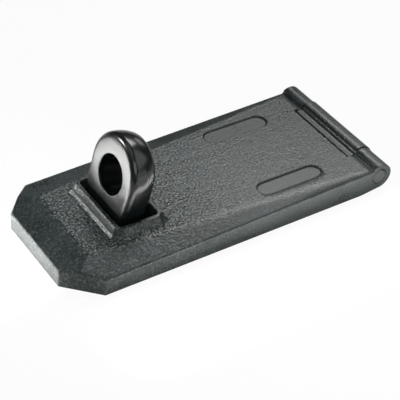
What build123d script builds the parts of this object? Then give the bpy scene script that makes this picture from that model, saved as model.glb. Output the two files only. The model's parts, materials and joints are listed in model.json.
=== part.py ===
from build123d import *
import os
from math import atan, cos, hypot, radians, sin, tan

# Cover leaf: a cast plate with bevelled margins, millimetres
length = 180.0
width = 76.6
leaf_thickness = 13.2
front_wall = 9.0
corner_cut = 15.5
front_bevel = 15.1
bevel_fade = 16.0
ridge_round = 4.0
edge_round = 1.0

# Hollow underside that covers the two screwed plates
tray_depth = 7.7
tray_front_wall = 18.0
tray_side_wall = 6.8
tray_corner = 6.0

# Hinge
pin_height = 8.2
pin_radius = 4.0
pin_chamfer = 0.3
pin_hole_chamfer = 0.5
leaf_knuckle_radius = 7.0
centre_knuckle_radius = 7.5
centre_knuckle_length = 44.0
knuckle_root = 8.5
knuckle_relief = 10.0
groove_radius = 1.5
groove_reach = 5.35
groove_rise = 0.6
cutout_reach = 9.1
lip_drop = 0.8
lip_round = 0.7
cove_radius = 2.6
cove_reach = 5.1

# Raised collar around the staple window
collar_from_front = 44.2
collar_length = 29.0
collar_width = 46.0
collar_margin = 0.3
collar_height = 4.8
collar_slope = 2.0
collar_corner = 4.0
collar_lip = 2.2
collar_foot_share = 0.66
collar_foot_rise = 1.1
collar_round = 0.7
window_corner = 2.0
window_chamfer = 0.4

# Plain sunk panels on the top face
panel_length = 36.8
panel_width = 9.6
panel_depth = 1.0
panel_draft = 12.0
panel_chamfer = 0.5
panel_from_hinge = 45.2
panel_offset = 23.3

# Staple eye, which leans towards the hinge along the swing of the window
eye_lean = 13.5
eye_thickness = 14.4
eye_taper = 3.5
eye_round = 2.8
hole_radius = 9.3
hole_height = 18.7
hole_chamfer = 0.8
crown_rise = 2.1
tenon_length = 9.0
tenon_width = 22.0

# Screwed plates hidden under the leaf
staple_plate_length = 50.0
staple_screw_margin = 8.0
hinge_plate_length = 50.0
hinge_screw_margin = 9.0
side_screw_margin = 8.6
screw_radius = 3.25
screw_head_radius = 6.0
countersink_angle = 90.0
plate_corner = 4.0
plate_chamfer = 0.5

# Clearances
pin_running_gap = 0.05
pin_drive_gap = 0.01
knuckle_side_gap = 0.35
lip_gap = 1.5
swing_gap = 0.6
plate_top_gap = 0.4
plate_edge_gap = 0.9
eye_front_gap = 0.7
eye_side_gap = 0.6
tenon_gap = 0.02

# Closeness within which edges are told apart
tolerance = 0.01

# Places along the length, with the origin under the middle of the closed hasp
front_x = -length / 2
hinge_x = length / 2 - centre_knuckle_radius
collar_x = front_x + collar_from_front
panel_x = hinge_x - panel_from_hinge
tray_front_x = front_x + tray_front_wall
tray_back_x = hinge_x - knuckle_root
cutout_x = hinge_x - cutout_reach
lip_x = cutout_x + lip_gap
lip_top = leaf_thickness - lip_drop
shoulder_x = hinge_x - hypot(knuckle_root, pin_height) - swing_gap
half_width = width / 2
tray_half_width = half_width - tray_side_wall
split_length = centre_knuckle_length + 2 * knuckle_side_gap

# Plates fill the tray with a gap above and at the edges
plate_thickness = tray_depth - plate_top_gap
plate_width = 2 * (tray_half_width - plate_edge_gap)
staple_plate_x = tray_front_x + plate_edge_gap + staple_plate_length / 2
hinge_plate_x = shoulder_x - hinge_plate_length / 2
tongue_length = lip_x + lip_round - hinge_plate_x
staple_hole_spacing = staple_plate_length - 2 * staple_screw_margin
hinge_hole_spacing = hinge_plate_length - 2 * hinge_screw_margin
hole_row_spacing = plate_width - 2 * side_screw_margin

# The window is the inside of the collar, and the eye stands in it
window_length = collar_length - 2 * (collar_slope + collar_lip)
window_width = collar_width - 2 * (collar_slope + collar_lip)
eye_front_x = collar_x - window_length / 2 + eye_front_gap
eye_x = eye_front_x + eye_thickness / 2 / cos(radians(eye_lean))
eye_radius = window_width / 2 - eye_side_gap
crown_height = hole_height + crown_rise
tenon_x = eye_x - (leaf_thickness - plate_thickness) * tan(radians(eye_lean))
eye_plane = Plane(
    origin=(eye_x, 0, leaf_thickness),
    x_dir=(0, -1, 0),
    z_dir=(-cos(radians(eye_lean)), 0, sin(radians(eye_lean))),
)

# Slopes of the bevels: the flat top is as wide as the collar, and the side bevels narrow towards the hinge
rise = leaf_thickness - front_wall
side_bevel = (width - collar_width) / 2 - collar_margin
side_start_x = front_x + corner_cut
side_slope_x = rise / (hinge_x + bevel_fade - side_start_x)
side_slope_y = (rise - side_slope_x * (front_bevel - corner_cut)) / side_bevel
front_plane = Plane(origin=(front_x, 0, front_wall), z_dir=(-rise / front_bevel, 0, 1))
side_planes = [
    Plane(origin=(side_start_x, side * half_width, front_wall), z_dir=(-side_slope_x, side * side_slope_y, 1))
    for side in (-1, 1)
]

# The flared foot of the collar takes a share of the flat between the collar and the rounded side ridge
collar_side_x = collar_x - collar_length / 2 + collar_corner
ridge_y = half_width - (rise - side_slope_x * (collar_side_x - side_start_x)) / side_slope_y
ridge_reach = ridge_round * tan(atan(hypot(side_slope_x, side_slope_y)) / 2)
collar_foot = collar_foot_share * (ridge_y - ridge_reach - collar_width / 2)
collar_sections = [
    (0, -collar_foot),
    (collar_foot_rise, collar_slope * collar_foot_rise / collar_height),
    (collar_height, collar_slope),
]


def is_upright(face):
    return abs(face.normal_at().Z) < tolerance


def is_ahead_of_hinge(shape):
    return shape.center().X < hinge_x - edge_round


def reaches_top(edge):
    return max(corner.Z for corner in edge.vertices()) > leaf_thickness - tolerance


def is_pin_hole_end(edge):
    if edge.geom_type != GeomType.CIRCLE:
        return False
    fits_pin = abs(edge.radius - pin_radius - pin_running_gap) < tolerance
    return fits_pin and abs(edge.center().Y) > half_width - tolerance


def is_panel_rim(edge):
    place = edge.center() - Vector(panel_x, 0, leaf_thickness)
    along = abs(place.X) < panel_length / 2 + tolerance
    across = abs(abs(place.Y) - panel_offset) < panel_width / 2 + tolerance
    return along and across and abs(place.Z) < tolerance


with BuildPart() as hasp_leaf:
    # Plate with cut front corners, then the three bevels
    with BuildSketch(Plane.XY):
        with BuildLine():
            Polyline(
                (front_x, -half_width + corner_cut),
                (side_start_x, -half_width),
                (hinge_x, -half_width),
                (hinge_x, half_width),
                (side_start_x, half_width),
                (front_x, half_width - corner_cut),
                close=True,
            )
        make_face()
    extrude(amount=leaf_thickness)
    for bevel_plane in [front_plane] + side_planes:
        split(bisect_by=bevel_plane, keep=Keep.BOTTOM)

    # Soft ridges round the flat top, then the rims and corners of the walls
    ridges = edges().filter_by(is_ahead_of_hinge).filter_by(reaches_top)
    fillet(ridges, ridge_round)
    walls = faces().filter_by(is_upright).filter_by(is_ahead_of_hinge)
    rims = walls.edges().filter_by(is_ahead_of_hinge).filter_by(lambda edge: edge.center().Z > edge_round)
    fillet(rims, edge_round)

    # Outer knuckles across the hinge end, with a groove in front and a relief below
    with BuildSketch(Plane.XZ):
        with Locations((hinge_x, pin_height)):
            Circle(leaf_knuckle_radius)
    extrude(amount=half_width, both=True)
    with BuildSketch(Plane.XZ):
        with Locations((hinge_x - groove_reach, leaf_thickness + groove_rise)):
            Circle(groove_radius)
        with BuildLine():
            Polyline(
                (hinge_x - knuckle_relief, 0),
                (hinge_x, pin_height - leaf_knuckle_radius),
                (hinge_x + leaf_knuckle_radius, 0),
                close=True,
            )
        make_face()
    extrude(amount=half_width, both=True, mode=Mode.SUBTRACT)

    # Hollow underside, and the cut-out for the centre knuckle
    with BuildSketch(Plane.XY):
        with Locations(((tray_front_x + tray_back_x) / 2, 0)):
            Rectangle(tray_back_x - tray_front_x, 2 * tray_half_width)
        fillet(vertices().sort_by(Axis.X)[:2], tray_corner)
    extrude(amount=tray_depth, mode=Mode.SUBTRACT)
    with BuildSketch(Plane.XY):
        with Locations((cutout_x, 0)):
            Rectangle(length, split_length, align=(Align.MIN, Align.CENTER))
    extrude(amount=2 * leaf_thickness, mode=Mode.SUBTRACT)
    with BuildSketch(Plane.XZ):
        with Locations((hinge_x, pin_height)):
            Circle(pin_radius + pin_running_gap)
    extrude(amount=half_width, both=True, mode=Mode.SUBTRACT)
    chamfer(edges().filter_by(is_pin_hole_end), pin_hole_chamfer)

    # Collar with sloping faces, cut corners and a flared foot round the staple window
    for level, inset in collar_sections:
        with BuildSketch(Plane.XY.offset(leaf_thickness + level)):
            with Locations((collar_x, 0)):
                Rectangle(collar_length - 2 * inset, collar_width - 2 * inset)
            chamfer(vertices(), collar_corner - inset / 2)
    loft(ruled=True)
    with BuildSketch(Plane.XY):
        with Locations((collar_x, 0)):
            RectangleRounded(window_length, window_width, window_corner)
    extrude(amount=leaf_thickness + 2 * collar_height, mode=Mode.SUBTRACT)
    collar_top = faces().filter_by(Axis.Z).sort_by(Axis.Z)[-1]
    chamfer(collar_top.inner_wires().edges(), window_chamfer)
    collar_top = faces().filter_by(Axis.Z).sort_by(Axis.Z)[-1]
    fillet(collar_top.outer_wire().edges(), collar_round)

    # Plain sunk panels beside the hinge
    with BuildSketch(Plane.XY.offset(leaf_thickness)):
        with Locations((panel_x, -panel_offset), (panel_x, panel_offset)):
            SlotOverall(panel_length, panel_width)
    extrude(amount=-panel_depth, taper=panel_draft, mode=Mode.SUBTRACT)
    chamfer(edges().filter_by(is_panel_rim), panel_chamfer)


with BuildPart() as hinge_leaf:
    # Plate with two rows of countersunk holes, and the tongue to the knuckle
    with BuildSketch(Plane.XY):
        with Locations((hinge_plate_x, 0)):
            RectangleRounded(hinge_plate_length, plate_width, plate_corner)
        with Locations((hinge_plate_x, 0)):
            Rectangle(tongue_length, centre_knuckle_length, align=(Align.MIN, Align.CENTER))
    extrude(amount=plate_thickness)
    chamfer(edges().group_by(Axis.Z)[-1], plate_chamfer)
    with Locations((hinge_plate_x, 0, plate_thickness)):
        with GridLocations(hinge_hole_spacing, hole_row_spacing, 2, 2):
            CounterSinkHole(screw_radius, screw_head_radius, counter_sink_angle=countersink_angle)

    # Web and lip that carry the centre knuckle
    with BuildSketch(Plane.XZ):
        with Locations((lip_x, 0)):
            Rectangle(hinge_x - lip_x, lip_top, align=(Align.MIN, Align.MIN))
        fillet(vertices().sort_by(Axis.Y)[-2:].sort_by(Axis.X)[0], lip_round)
        with Locations((hinge_x, pin_height)):
            Circle(centre_knuckle_radius)
        with Locations((hinge_x - cove_reach, lip_top)):
            Rectangle(cutout_reach, leaf_thickness, align=(Align.MAX, Align.MIN), mode=Mode.SUBTRACT)
        with Locations((hinge_x - cove_reach, lip_top + cove_radius)):
            Circle(cove_radius, mode=Mode.SUBTRACT)
    extrude(amount=centre_knuckle_length / 2, both=True)
    with BuildSketch(Plane.XZ):
        with Locations((hinge_x, pin_height)):
            Circle(pin_radius + pin_drive_gap)
    extrude(amount=centre_knuckle_length / 2, both=True, mode=Mode.SUBTRACT)


with BuildPart() as hinge_pin:
    with BuildSketch(Plane.XZ):
        with Locations((hinge_x, pin_height)):
            Circle(pin_radius)
    extrude(amount=half_width, both=True)
    chamfer(edges().filter_by(GeomType.CIRCLE), pin_chamfer)


with BuildPart() as staple_plate:
    with BuildSketch(Plane.XY):
        with Locations((staple_plate_x, 0)):
            RectangleRounded(staple_plate_length, plate_width, plate_corner)
    extrude(amount=plate_thickness)
    chamfer(edges().group_by(Axis.Z)[-1], plate_chamfer)
    with Locations((staple_plate_x, 0, plate_thickness)):
        with GridLocations(staple_hole_spacing, hole_row_spacing, 2, 2):
            CounterSinkHole(screw_radius, screw_head_radius, counter_sink_angle=countersink_angle)
    with BuildSketch(Plane.XY):
        with Locations((tenon_x, 0)):
            Rectangle(tenon_length + 2 * tenon_gap, tenon_width + 2 * tenon_gap)
    extrude(amount=plate_thickness, mode=Mode.SUBTRACT)


with BuildPart() as staple_eye:
    # Arched outline with tapering legs, in the leaning plane of the eye
    tangent_x = eye_radius * cos(radians(eye_taper))
    tangent_y = crown_height - eye_radius * sin(radians(eye_taper))
    eye_top = crown_height + eye_radius
    leg_drop = crown_height + leaf_thickness
    foot_x = tangent_x - leg_drop * tan(radians(eye_taper))
    with BuildSketch(eye_plane):
        with BuildLine():
            arch = ThreePointArc((tangent_x, tangent_y), (0, eye_top), (-tangent_x, tangent_y))
            Polyline(arch @ 1, (-foot_x, tangent_y - leg_drop), (foot_x, tangent_y - leg_drop), arch @ 0)
        make_face()
    extrude(amount=eye_thickness / 2, both=True)
    front_and_back = faces().filter_by(Axis((0, 0, 0), eye_plane.z_dir))
    fillet(front_and_back.edges().filter_by(lambda edge: edge.center().Z > plate_thickness), eye_round)

    # Foot cut level with the plate and upright in front, with its tenon
    split(bisect_by=Plane.XY.offset(plate_thickness), keep=Keep.TOP)
    split(bisect_by=Plane(origin=(eye_front_x, 0, 0), z_dir=(1, 0, 0)), keep=Keep.TOP)
    with BuildSketch(Plane.XY):
        with Locations((tenon_x, 0)):
            Rectangle(tenon_length, tenon_width)
    extrude(amount=plate_thickness)

    # Padlock hole
    with BuildSketch(eye_plane):
        with Locations((0, hole_height)):
            Circle(hole_radius)
    extrude(amount=eye_thickness, both=True, mode=Mode.SUBTRACT)
    circles = edges().filter_by(GeomType.CIRCLE)
    hole_rims = circles.filter_by(lambda edge: abs(edge.radius - hole_radius) < tolerance)
    chamfer(hole_rims, hole_chamfer)


os.makedirs("parts", exist_ok=True)
pieces = {
    "hasp_leaf": hasp_leaf,
    "hinge_leaf": hinge_leaf,
    "hinge_pin": hinge_pin,
    "staple_plate": staple_plate,
    "staple_eye": staple_eye,
}
for name, piece in pieces.items():
    piece.part.label = name
    export_step(piece.part, f"parts/{name}.step")
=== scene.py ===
import json
import math

import bmesh
import bpy
from bpy.props import FloatProperty, FloatVectorProperty, PointerProperty
from mathutils import Matrix, Vector


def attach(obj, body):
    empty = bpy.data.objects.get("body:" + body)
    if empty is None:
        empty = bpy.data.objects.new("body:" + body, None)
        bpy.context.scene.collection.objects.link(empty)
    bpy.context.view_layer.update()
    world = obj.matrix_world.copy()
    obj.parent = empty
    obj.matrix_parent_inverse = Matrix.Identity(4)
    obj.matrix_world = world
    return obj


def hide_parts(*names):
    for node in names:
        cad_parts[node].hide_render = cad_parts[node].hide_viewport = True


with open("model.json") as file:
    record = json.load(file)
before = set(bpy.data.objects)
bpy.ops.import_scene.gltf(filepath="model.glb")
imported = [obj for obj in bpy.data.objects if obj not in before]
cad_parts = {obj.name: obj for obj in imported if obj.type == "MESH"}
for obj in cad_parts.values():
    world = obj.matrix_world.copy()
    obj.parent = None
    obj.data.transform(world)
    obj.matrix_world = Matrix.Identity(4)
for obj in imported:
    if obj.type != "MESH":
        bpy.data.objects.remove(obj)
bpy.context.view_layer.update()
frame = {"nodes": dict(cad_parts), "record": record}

bl_info = {
    "name": "Cast hasp",
    "version": (1, 0, 0),
    "blender": (4, 5, 0),
    "location": "3D View > Sidebar > Hasp",
    "description": "Gives the cast hasp its finishes and sets it on a studio floor",
    "category": "Object",
}

MM = 0.001
WHITE = (1, 1, 1, 1)

# Points of the eye closer to the hole's axis than this belong to the hole, and stay
OUTSIDE_HOLE = 12 * MM
# An edge that spans this share of the flat rim's width goes right across it
ACROSS_RIM = 0.99
# Heights at which the crown of the eye's rim starts and is full
CROWN_START, CROWN_FULL = 14 * MM, 26 * MM
# Cuts across the flat rim, which give the crown its curve
CROWN_CUTS = 9
# Edges of the eye that turn by more than this stay sharp
SHARP_TURN = math.radians(35)
# Points of the CAD mesh that are closer than this are one point
SAME_POINT = 0.001 * MM
# Room for rounding where a point is told to be on the flat rim
ROUNDING = 0.01 * MM

FLOOR_SEGMENTS = 96
CLIP_START, CLIP_END = 0.01, 100

# Where the large lamps point: the middle of the flat top, in millimetres
FLAT_TOP = (0, 0, 13)
# Each lamp's name, place, aim, width and height in millimetres, radiance, and spread in degrees.
# Floor lamps light the floor beside the hasp, which its walls and its eye mirror.
LAMPS = (
    ("back_softbox", (980, 800, 1550), FLAT_TOP, 920, 800, 7.4, 180),
    ("top_softbox", (-420, 60, 1200), FLAT_TOP, 900, 900, 0.6, 180),
    ("back_low_softbox", (806, 430, 407), FLAT_TOP, 300, 200, 2.3, 180),
    ("front_softbox", (-560, -760, 760), FLAT_TOP, 800, 600, 1.8, 180),
    ("left_softbox", (-284, 215, 177), (-62, 0, 14), 150, 150, 0.6, 20),
    ("left_panel", (-215, 125, 40), (-62, 0, 15), 140, 75, 1.0, 180),
    ("left_floor_lamp", (-131, 42, 62), (-131, 42, 0), 55, 110, 11.0, 40),
    ("front_floor_lamp", (-106, 5, 30), (-94, 5, 0), 60, 8, 2.4, 20),
    ("right_floor_lamp", (8, -68, 62), (8, -68, 0), 170, 20, 8.0, 42),
    ("right_panel", (40, -260, 58), (0, -38, 5), 320, 110, 0.8, 180),
    ("right_fill", (420, -380, 570), FLAT_TOP, 700, 600, 1.0, 180),
)


def linear(hex_colour):
    """The linear colour of an sRGB hex value."""
    channels = [int(hex_colour[i:i + 2], 16) / 255 for i in (1, 3, 5)]
    return tuple(c / 12.92 if c <= 0.04045 else ((c + 0.055) / 1.055) ** 2.4 for c in channels)


def put(tree, kind, inputs=None, **settings):
    """Adds one node with its settings, and sets or links its inputs."""
    node = tree.nodes.new(kind)
    for name, value in settings.items():
        setattr(node, name, value)
    for key, value in (inputs or {}).items():
        if isinstance(value, bpy.types.NodeSocket):
            tree.links.new(value, node.inputs[key])
        else:
            node.inputs[key].default_value = value
    return node


def new_material(name):
    """An empty node material and its tree."""
    material = bpy.data.materials.new(name)
    material.use_nodes = True
    material.node_tree.nodes.clear()
    return material, material.node_tree


def finish_node(name, material):
    """Gives a node of the frame its finish."""
    slots = frame["nodes"][name].data.materials
    slots.clear()
    slots.append(material)


class CastingFinish(bpy.types.PropertyGroup):
    """Satin black paint over sand-cast iron."""

    paint: FloatVectorProperty(
        name="Paint", description="Colour of the paint",
        subtype="COLOR", size=3, default=linear("#232B2A"))
    worn: FloatVectorProperty(
        name="Worn paint", description="Paler paint in the worn patches",
        subtype="COLOR", size=3, default=linear("#2F3736"))
    rubbed: FloatVectorProperty(
        name="Rubbed grain", description="Tips of the grain where the paint is rubbed thin",
        subtype="COLOR", size=3, default=linear("#757D7C"))
    patch_size: FloatProperty(
        name="Worn patches", description="Width of the worn patches",
        unit="LENGTH", default=14 * MM)
    peel_size: FloatProperty(
        name="Orange peel", description="Width of the soft lumps in the cast skin",
        unit="LENGTH", default=4.0 * MM)
    peel_height: FloatProperty(
        name="Orange peel height", description="Height of those lumps",
        unit="LENGTH", default=0.3 * MM)
    grain_size: FloatProperty(
        name="Sand grain", description="Width of the mould's grains",
        unit="LENGTH", default=1.1 * MM)
    grain_height: FloatProperty(
        name="Sand grain height", description="Height of the grains",
        unit="LENGTH", default=0.28 * MM)
    edge_round: FloatProperty(
        name="Soft edges", description="How far the paint rounds each cast edge",
        unit="LENGTH", default=0.5 * MM)
    ridge_round: FloatProperty(
        name="Soft side ridge", description="How far the paint rounds the long ridge",
        unit="LENGTH", default=4.0 * MM)
    # Painted shade: how far off a wall the paint's shine is still taken down, as if the wall shaded
    # it
    painted_shade_reach: FloatProperty(
        name="Hollow reach", description="How far off a wall still dulls the paint beside it",
        unit="LENGTH", default=5 * MM)
    roughness: FloatProperty(
        name="Roughness", description="Roughness of the paint",
        subtype="FACTOR", min=0, max=1, default=0.3)


class SteelFinish(bpy.types.PropertyGroup):
    """Finishes of the pin, the staple plate and the eye, and the crown of the eye's rim."""

    pin: FloatVectorProperty(
        name="Pin", description="Paint on the pin",
        subtype="COLOR", size=3, default=linear("#383D3C"))
    pin_roughness: FloatProperty(
        name="Pin roughness", description="Roughness of that paint",
        subtype="FACTOR", min=0, max=1, default=0.4)
    plate: FloatVectorProperty(
        name="Plate", description="Paint on the staple plate",
        subtype="COLOR", size=3, default=linear("#2A2E2E"))
    plate_roughness: FloatProperty(
        name="Plate roughness", description="Roughness of that paint",
        subtype="FACTOR", min=0, max=1, default=0.45)
    mottle_size: FloatProperty(
        name="Mottle", description="Width of the mottle in the paint on pin and plate",
        unit="LENGTH", default=1.5 * MM)
    mottle_height: FloatProperty(
        name="Mottle height", description="Height of that mottle",
        unit="LENGTH", default=0.02 * MM)
    eye: FloatVectorProperty(
        name="Eye", description="Black of the staple eye",
        subtype="COLOR", size=3, default=linear("#0B1010"))
    eye_roughness: FloatProperty(
        name="Eye roughness", description="Roughness of that black",
        subtype="FACTOR", min=0, max=1, default=0.22)
    ripple_size: FloatProperty(
        name="Ripple", description="Width of the ripple in the forged skin",
        unit="LENGTH", default=6 * MM)
    ripple_height: FloatProperty(
        name="Ripple height", description="Height of that ripple",
        unit="LENGTH", default=0.05 * MM)
    # Painted shade on the eye: how far off another face its shine is still taken down
    eye_painted_shade_reach: FloatProperty(
        name="Polish reach", description="How far off another face still keeps the polish away",
        unit="LENGTH", default=25 * MM)
    eye_lean: FloatProperty(
        name="Eye lean", description="Lean of the eye towards the hinge",
        subtype="ANGLE", default=math.radians(13.5))
    eye_depth: FloatProperty(
        name="Eye depth", description="From the front face of the eye to its back",
        unit="LENGTH", default=14.4 * MM)
    flat_rim: FloatProperty(
        name="Flat rim", description="Width of the rim between its rounded edges",
        unit="LENGTH", default=8.8 * MM)
    arch_rise: FloatProperty(
        name="Arch rise", description="From the middle of the hole up to the middle of the arch",
        unit="LENGTH", default=2.1 * MM)
    crown_line: FloatProperty(
        name="Crown line", description="The rim's highest line, from the middle towards the front",
        unit="LENGTH", default=2.0 * MM)
    front_fall: FloatProperty(
        name="Front fall", description="How far the crown falls to the front face",
        unit="LENGTH", default=0.5 * MM)
    back_fall: FloatProperty(
        name="Back fall", description="How far the crown falls to the back face",
        unit="LENGTH", default=2.4 * MM)


class StudioSettings(bpy.types.PropertyGroup):
    """Camera, floor and light."""

    azimuth: FloatProperty(
        name="Azimuth", description="Turn of the camera round the hasp",
        subtype="ANGLE", default=math.radians(-36.80))
    elevation: FloatProperty(
        name="Elevation", description="Height of the camera",
        subtype="ANGLE", default=math.radians(39.27))
    roll: FloatProperty(
        name="Roll", description="Tilt of the camera",
        subtype="ANGLE", default=math.radians(5.21))
    distance: FloatProperty(
        name="Distance", description="From the camera to its target",
        unit="LENGTH", default=647 * MM)
    target: FloatVectorProperty(
        name="Target", description="Where the camera looks",
        subtype="XYZ", unit="LENGTH", size=3, default=(-6.1 * MM, -10.4 * MM, 8.0 * MM))
    lens: FloatProperty(
        name="Lens", description="Focal length in millimetres on a 36 mm sensor",
        unit="CAMERA", default=121.7)
    floor: FloatVectorProperty(
        name="Floor", description="Colour of the floor",
        subtype="COLOR", size=3, default=linear("#F6F6F4"))
    white_seen: FloatProperty(
        name="White in view",
        description="Share of plain white in the floor and the air that the camera sees",
        subtype="FACTOR", min=0, max=1, default=0.92)
    white_mirrored: FloatProperty(
        name="White in reflections",
        description="Share of plain white in the floor and the air that metal mirrors",
        subtype="FACTOR", min=0, max=1, default=0.05)
    air: FloatProperty(
        name="Air", description="Strength of the light from all round",
        subtype="FACTOR", min=0, max=1, default=0.04)
    floor_radius: FloatProperty(
        name="Floor radius", description="Half the width of the floor",
        unit="LENGTH", default=6.0)


def satin_paint_on_cast_iron(finish):
    """Black paint over a sand-cast skin: soft lumps, coarse grit before the collar, rubbed tips,
    and painted shade in the hollows.
    """
    material, tree = new_material("satin_paint_on_cast_iron")
    place = put(tree, "ShaderNodeTexCoord").outputs["Object"]
    axes = put(tree, "ShaderNodeSeparateXYZ", {"Vector": place})
    # The mould was rougher at the staple end than at the hinge,
    # and on the flat than on bevels, collar and knuckles
    coarse = put(
        tree, "ShaderNodeMapRange",
        {"Value": axes.outputs["X"], "From Min": 20 * MM, "From Max": -50 * MM,
         "To Min": 0.4, "To Max": 1.0},
        interpolation_type="SMOOTHSTEP")
    flat = put(
        tree, "ShaderNodeMapRange",
        {"Value": axes.outputs["Z"], "From Min": 12.7 * MM, "From Max": 13.1 * MM,
         "To Min": 0.35, "To Max": 1.0})
    raised = put(
        tree, "ShaderNodeMapRange",
        {"Value": axes.outputs["Z"], "From Min": 13.5 * MM, "From Max": 14.2 * MM,
         "To Min": 1.0, "To Max": 0.4})
    for mask in (flat, raised):
        coarse = put(
            tree, "ShaderNodeMath", {0: coarse.outputs[0], 1: mask.outputs[0]},
            operation="MULTIPLY")
    # Long soft ridge beside the flat top, between the collar and the hinge
    soft = put(
        tree, "ShaderNodeMapRange",
        {"Value": axes.outputs["Y"], "From Min": -24 * MM, "From Max": -28 * MM},
        interpolation_type="SMOOTHSTEP")
    behind_collar = put(
        tree, "ShaderNodeMapRange",
        {"Value": axes.outputs["X"], "From Min": -34 * MM, "From Max": -22 * MM})
    before_hinge = put(
        tree, "ShaderNodeMapRange",
        {"Value": axes.outputs["X"], "From Min": 72 * MM, "From Max": 66 * MM})
    high = put(
        tree, "ShaderNodeMapRange",
        {"Value": axes.outputs["Z"], "From Min": 11.6 * MM, "From Max": 12.4 * MM})
    for mask in (behind_collar, before_hinge, high):
        soft = put(
            tree, "ShaderNodeMath", {0: soft.outputs[0], 1: mask.outputs[0]},
            operation="MULTIPLY")
    radius = put(
        tree, "ShaderNodeMapRange",
        {"Value": soft.outputs[0], "To Min": finish.edge_round, "To Max": finish.ridge_round})
    edges = put(tree, "ShaderNodeBevel", {"Radius": radius.outputs[0]}, samples=6)
    # Lumps and grains of the cast skin, and the patches where its paint is worn
    peel = put(
        tree, "ShaderNodeTexNoise",
        {"Vector": place, "Scale": 1 / finish.peel_size, "Detail": 2.0})
    grain = put(
        tree, "ShaderNodeTexNoise",
        {"Vector": place, "Scale": 1 / finish.grain_size, "Detail": 1.0})
    patches = put(
        tree, "ShaderNodeTexNoise",
        {"Vector": place, "Scale": 1 / finish.patch_size, "Detail": 3.0})
    tips = put(
        tree, "ShaderNodeMapRange",
        {"Value": grain.outputs["Fac"], "From Min": 0.52, "From Max": 0.72})
    rubbing = put(
        tree, "ShaderNodeMath", {0: tips.outputs[0], 1: coarse.outputs[0]},
        operation="MULTIPLY")
    pits = put(
        tree, "ShaderNodeMapRange",
        {"Value": grain.outputs["Fac"], "From Min": 0.50, "From Max": 0.36})
    sunk = put(
        tree, "ShaderNodeMath", {0: pits.outputs[0], 1: coarse.outputs[0]},
        operation="MULTIPLY")
    # Painted shade takes the shine off the hollows beside walls, where light is blocked, and the
    # pits of the grain are less shiny too
    hollow = put(
        tree, "ShaderNodeAmbientOcclusion", {"Distance": finish.painted_shade_reach},
        samples=8, only_local=True)
    painted_shade_gloss = put(
        tree, "ShaderNodeMapRange",
        {"Value": hollow.outputs["AO"], "From Min": 0.45, "From Max": 0.85,
         "To Min": 0.08, "To Max": 0.5})
    shine_of_pits_and_painted_shade = put(
        tree, "ShaderNodeMapRange", {"Value": sunk.outputs[0], "To Min": 1.0, "To Max": 0.1})
    shine_of_pits_and_painted_shade = put(
        tree, "ShaderNodeMath", {0: shine_of_pits_and_painted_shade.outputs[0], 1: painted_shade_gloss.outputs[0]},
        operation="MULTIPLY")
    mottle = put(
        tree, "ShaderNodeMapRange",
        {"Value": patches.outputs["Fac"], "From Min": 0.38, "From Max": 0.66})
    colour = put(
        tree, "ShaderNodeMix",
        {"Factor": mottle.outputs[0], 6: (*finish.paint, 1), 7: (*finish.worn, 1)},
        data_type="RGBA")
    colour = put(
        tree, "ShaderNodeMix",
        {"Factor": rubbing.outputs[0], 6: colour.outputs[2], 7: (*finish.rubbed, 1)},
        data_type="RGBA")
    lumps = put(
        tree, "ShaderNodeBump",
        {"Height": peel.outputs["Fac"], "Distance": finish.peel_height,
         "Strength": coarse.outputs[0], "Normal": edges.outputs["Normal"]})
    grit = put(
        tree, "ShaderNodeBump",
        {"Height": grain.outputs["Fac"], "Distance": finish.grain_height,
         "Strength": coarse.outputs[0], "Normal": lumps.outputs["Normal"]})
    dull = put(
        tree, "ShaderNodeMapRange",
        {"Value": patches.outputs["Fac"], "From Min": 0.3, "From Max": 0.7,
         "To Min": finish.roughness - 0.04, "To Max": finish.roughness + 0.06})
    shader = put(
        tree, "ShaderNodeBsdfPrincipled",
        {"Base Color": colour.outputs[2], "Roughness": dull.outputs[0], "IOR": 1.5,
         "Specular IOR Level": shine_of_pits_and_painted_shade.outputs[0], "Normal": grit.outputs["Normal"]})
    put(tree, "ShaderNodeOutputMaterial", {"Surface": shader.outputs["BSDF"]})
    return material


def satin_paint_on_steel(name, steel, colour, roughness):
    """Thin black paint over rolled or turned steel: smoother than the castings, faintly mottled."""
    material, tree = new_material(name)
    place = put(tree, "ShaderNodeTexCoord").outputs["Object"]
    mottle = put(
        tree, "ShaderNodeTexNoise",
        {"Vector": place, "Scale": 1 / steel.mottle_size, "Detail": 3.0})
    dull = put(
        tree, "ShaderNodeMapRange",
        {"Value": mottle.outputs["Fac"], "To Min": roughness - 0.06, "To Max": roughness + 0.06})
    skin = put(
        tree, "ShaderNodeBump",
        {"Height": mottle.outputs["Fac"], "Distance": steel.mottle_height})
    shader = put(
        tree, "ShaderNodeBsdfPrincipled",
        {"Base Color": (*colour, 1), "Roughness": dull.outputs["Result"],
         "Normal": skin.outputs["Normal"]})
    put(tree, "ShaderNodeOutputMaterial", {"Surface": shader.outputs["BSDF"]})
    return material


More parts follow.
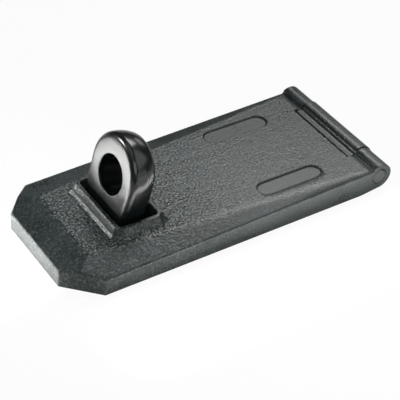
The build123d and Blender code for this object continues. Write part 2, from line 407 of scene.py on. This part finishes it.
def gloss_black_on_hard_steel(steel):
    """Stoved black over a forged, hardened eye: smooth and dark, so its face mirrors the floor;
    painted shade dims it in the hole and towards the foot.
    """
    material, tree = new_material("gloss_black_on_hard_steel")
    place = put(tree, "ShaderNodeTexCoord").outputs["Object"]
    ripple = put(
        tree, "ShaderNodeTexNoise",
        {"Vector": place, "Scale": 1 / steel.ripple_size, "Detail": 1.0})
    skin = put(
        tree, "ShaderNodeBump",
        {"Height": ripple.outputs["Fac"], "Distance": steel.ripple_height})
    # Painted shade: the shine falls off in the hole and down towards the foot, where the collar and
    # the hole shade the eye
    reach = put(tree, "ShaderNodeAmbientOcclusion", {"Distance": steel.eye_painted_shade_reach}, samples=8)
    eye_shine_with_painted_shade = put(
        tree, "ShaderNodeMapRange",
        {"Value": reach.outputs["AO"], "From Min": 0.64, "From Max": 0.92,
         "To Min": 0.02, "To Max": 0.5})
    axes = put(tree, "ShaderNodeSeparateXYZ", {"Vector": place})
    # Painted shade: less shine low on the eye, next to the collar
    painted_shade_towards_foot = put(
        tree, "ShaderNodeMapRange",
        {"Value": axes.outputs["Z"], "From Min": 17 * MM, "From Max": 29 * MM,
         "To Min": 0.1, "To Max": 1.0},
        interpolation_type="SMOOTHSTEP")
    eye_shine_with_painted_shade = put(
        tree, "ShaderNodeMath", {0: eye_shine_with_painted_shade.outputs[0], 1: painted_shade_towards_foot.outputs[0]},
        operation="MULTIPLY")
    shader = put(
        tree, "ShaderNodeBsdfPrincipled",
        {"Base Color": (*steel.eye, 1), "Roughness": steel.eye_roughness, "IOR": 1.6,
         "Specular IOR Level": eye_shine_with_painted_shade.outputs[0], "Normal": skin.outputs["Normal"]})
    put(tree, "ShaderNodeOutputMaterial", {"Surface": shader.outputs["BSDF"]})
    return material


def crowned_eye(steel):
    """A copy of the staple eye with a forging's crowned rim, which falls most towards the back."""
    along = Vector((-math.cos(steel.eye_lean), 0, math.sin(steel.eye_lean)))
    upward = Vector((math.sin(steel.eye_lean), 0, math.cos(steel.eye_lean)))
    eye = bmesh.new()
    eye.from_mesh(frame["nodes"]["staple_eye"].data)
    bmesh.ops.remove_doubles(eye, verts=eye.verts, dist=SAME_POINT)
    mounts = {mount["name"]: mount for mount in frame["record"]["mounts"]}
    hole = Vector(mounts["padlock_hole"]["pos_m"])
    centre = hole + upward * steel.arch_rise

    def depth_of(vert):
        return (vert.co - hole).dot(along)

    def outside_hole(vert):
        return (vert.co - hole - depth_of(vert) * along).length >= OUTSIDE_HOLE

    def on_rim(vert):
        return abs(depth_of(vert)) < steel.flat_rim / 2 + ROUNDING and outside_hole(vert)

    # Cut the flat rim into strips
    rim = [face for face in eye.faces if all(on_rim(vert) for vert in face.verts)]
    bmesh.ops.join_triangles(
        eye, faces=rim, angle_face_threshold=0.3, angle_shape_threshold=math.pi)
    lines = [
        edge for edge in eye.edges
        if all(on_rim(vert) for vert in edge.verts)
        and abs((edge.verts[1].co - edge.verts[0].co).dot(along)) > ACROSS_RIM * steel.flat_rim]
    bmesh.ops.subdivide_edges(eye, edges=lines, cuts=CROWN_CUTS, use_grid_fill=True)

    # Let the rim fall from its highest line to both faces
    for vert in eye.verts:
        if not outside_hole(vert):
            continue
        offset = vert.co - centre
        inward = Vector((0, -offset.y, 0)) - upward * max(offset.dot(upward), 0)
        beyond = depth_of(vert) - steel.crown_line
        if beyond > 0:
            fall = steel.front_fall * (beyond / (steel.eye_depth / 2 - steel.crown_line)) ** 2
        else:
            fall = steel.back_fall * (beyond / (steel.eye_depth / 2 + steel.crown_line)) ** 2
        share = min(max((vert.co.z - CROWN_START) / (CROWN_FULL - CROWN_START), 0), 1)
        vert.co += inward.normalized() * fall * share
    mesh = bpy.data.meshes.new("forged_eye")
    eye.to_mesh(mesh)
    eye.free()
    mesh.shade_smooth()
    mesh.set_sharp_from_angle(angle=SHARP_TURN)
    piece = bpy.data.objects.new("forged_eye", mesh)
    bpy.context.scene.collection.objects.link(piece)
    # Large faces set the shading at their borders, so the flat faces stay flat
    shading = piece.modifiers.new("flat_faces", "WEIGHTED_NORMAL")
    shading.mode = "FACE_AREA"
    shading.weight = 100
    shading.keep_sharp = True
    return piece


class HASP_OT_castings(bpy.types.Operator):
    """Paints the two castings, the cover leaf and the hinge leaf"""

    bl_idname = "hasp.castings"
    bl_label = "Castings"

    def execute(self, context):
        material = satin_paint_on_cast_iron(context.scene.hasp_casting)
        for name in ("hasp_leaf", "hinge_leaf"):
            finish_node(name, material)
        return {"FINISHED"}


class HASP_OT_pin(bpy.types.Operator):
    """Paints the hinge pin"""

    bl_idname = "hasp.pin"
    bl_label = "Hinge pin"

    def execute(self, context):
        steel = context.scene.hasp_steel
        finish_node("hinge_pin", satin_paint_on_steel(
            "satin_paint_on_pin", steel, steel.pin, steel.pin_roughness))
        return {"FINISHED"}


class HASP_OT_plate(bpy.types.Operator):
    """Paints the staple plate"""

    bl_idname = "hasp.plate"
    bl_label = "Staple plate"

    def execute(self, context):
        steel = context.scene.hasp_steel
        finish_node("staple_plate", satin_paint_on_steel(
            "satin_paint_on_plate", steel, steel.plate, steel.plate_roughness))
        return {"FINISHED"}


class HASP_OT_eye(bpy.types.Operator):
    """Forges and blackens the staple eye"""

    bl_idname = "hasp.eye"
    bl_label = "Staple eye"

    def execute(self, context):
        steel = context.scene.hasp_steel
        piece = crowned_eye(steel)
        piece.data.materials.append(gloss_black_on_hard_steel(steel))
        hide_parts("staple_eye")
        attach(piece, "fixed_plates")
        return {"FINISHED"}


def plain_white(tree, studio):
    """Share of plain white that a ray meets: most for the camera, little in reflections."""
    path = put(tree, "ShaderNodeLightPath")
    mirrored = put(
        tree, "ShaderNodeMath",
        {0: path.outputs["Is Glossy Ray"], 1: path.outputs["Is Transmission Ray"]},
        operation="MAXIMUM")
    mirrored = put(
        tree, "ShaderNodeMath", {0: mirrored.outputs[0], 1: studio.white_mirrored},
        operation="MULTIPLY")
    seen = put(
        tree, "ShaderNodeMath", {0: path.outputs["Is Camera Ray"], 1: studio.white_seen},
        operation="MULTIPLY")
    share = put(
        tree, "ShaderNodeMath", {0: mirrored.outputs[0], 1: seen.outputs[0]},
        operation="MAXIMUM")
    return share.outputs[0]


def pale_floor(studio):
    """Matt pale floor: nearly white to the camera, and it still takes the shadow of the hasp."""
    material, tree = new_material("matt_pale_floor")
    matt = put(tree, "ShaderNodeBsdfDiffuse", {"Color": (*studio.floor, 1)})
    white = put(tree, "ShaderNodeEmission", {"Color": WHITE, "Strength": 1.0})
    mixed = put(
        tree, "ShaderNodeMixShader",
        {0: plain_white(tree, studio), 1: matt.outputs["BSDF"], 2: white.outputs["Emission"]})
    put(tree, "ShaderNodeOutputMaterial", {"Surface": mixed.outputs["Shader"]})
    return material


def softbox(name, place, aim, width, height, radiance, spread):
    """A rectangular lamp, described by a row of LAMPS."""
    lamp = bpy.data.lights.new(name, "AREA")
    lamp.shape = "RECTANGLE"
    lamp.size, lamp.size_y = width * MM, height * MM
    lamp.energy = radiance * math.pi * lamp.size * lamp.size_y
    lamp.spread = math.radians(spread)
    holder = bpy.data.objects.new(name, lamp)
    holder.location = Vector(place) * MM
    holder.rotation_mode = "QUATERNION"
    holder.rotation_quaternion = (Vector(place) - Vector(aim)).to_track_quat("Z", "Y")
    bpy.context.scene.collection.objects.link(holder)


class HASP_OT_stage(bpy.types.Operator):
    """Lays the floor, sets the lamps and the world, and aims the camera"""

    bl_idname = "hasp.stage"
    bl_label = "Stage"

    def execute(self, context):
        studio = context.scene.hasp_studio
        floor_mesh = bmesh.new()
        bmesh.ops.create_circle(
            floor_mesh, cap_ends=True, radius=studio.floor_radius, segments=FLOOR_SEGMENTS)
        mesh = bpy.data.meshes.new("floor")
        floor_mesh.to_mesh(mesh)
        floor_mesh.free()
        mesh.materials.append(pale_floor(studio))
        floor = bpy.data.objects.new("floor", mesh)
        context.scene.collection.objects.link(floor)

        for lamp in LAMPS:
            softbox(*lamp)

        world = bpy.data.worlds.new("studio")
        world.use_nodes = True
        tree = world.node_tree
        tree.nodes.clear()
        strength = put(
            tree, "ShaderNodeMapRange",
            {"Value": plain_white(tree, studio), "To Min": studio.air, "To Max": 1.0})
        air = put(
            tree, "ShaderNodeBackground", {"Color": WHITE, "Strength": strength.outputs[0]})
        put(tree, "ShaderNodeOutputWorld", {"Surface": air.outputs["Background"]})
        context.scene.world = world

        az, el, roll = studio.azimuth, studio.elevation, studio.roll
        back = Vector((math.sin(az) * math.cos(el), -math.cos(az) * math.cos(el), math.sin(el)))
        right = Vector((math.cos(az), math.sin(az), 0))
        up = back.cross(right)
        across = math.cos(roll) * right + math.sin(roll) * up
        upward = -math.sin(roll) * right + math.cos(roll) * up
        turn = Matrix((across, upward, back)).transposed().to_4x4()
        lens = bpy.data.cameras.new("camera")
        lens.lens = studio.lens
        lens.clip_start, lens.clip_end = CLIP_START, CLIP_END
        camera = bpy.data.objects.new("camera", lens)
        spot = Vector(studio.target) + back * studio.distance
        camera.matrix_world = Matrix.Translation(spot) @ turn
        context.scene.collection.objects.link(camera)
        context.scene.camera = camera
        context.scene.view_settings.view_transform = "Standard"
        return {"FINISHED"}


class HASP_PT_panel(bpy.types.Panel):
    """Lists the hasp's steps and settings"""

    bl_label = "Hasp"
    bl_idname = "HASP_PT_panel"
    bl_space_type = "VIEW_3D"
    bl_region_type = "UI"
    bl_category = "Hasp"

    def draw(self, context):
        for operator in OPERATORS:
            self.layout.operator(operator.bl_idname)
        for group in SETTINGS:
            for name in SETTINGS[group].__annotations__:
                self.layout.prop(getattr(context.scene, group), name)


SETTINGS = {
    "hasp_casting": CastingFinish, "hasp_steel": SteelFinish, "hasp_studio": StudioSettings}
OPERATORS = (HASP_OT_castings, HASP_OT_pin, HASP_OT_plate, HASP_OT_eye, HASP_OT_stage)
CLASSES = (*SETTINGS.values(), *OPERATORS, HASP_PT_panel)


def register():
    for item in CLASSES:
        bpy.utils.register_class(item)
    for name, group in SETTINGS.items():
        setattr(bpy.types.Scene, name, PointerProperty(type=group))


def unregister():
    for name in SETTINGS:
        delattr(bpy.types.Scene, name)
    for item in reversed(CLASSES):
        bpy.utils.unregister_class(item)


def main():
    register()
    bpy.ops.hasp.castings()
    bpy.ops.hasp.pin()
    bpy.ops.hasp.plate()
    bpy.ops.hasp.eye()
    bpy.ops.hasp.stage()


if __name__ == "__main__":
    main()
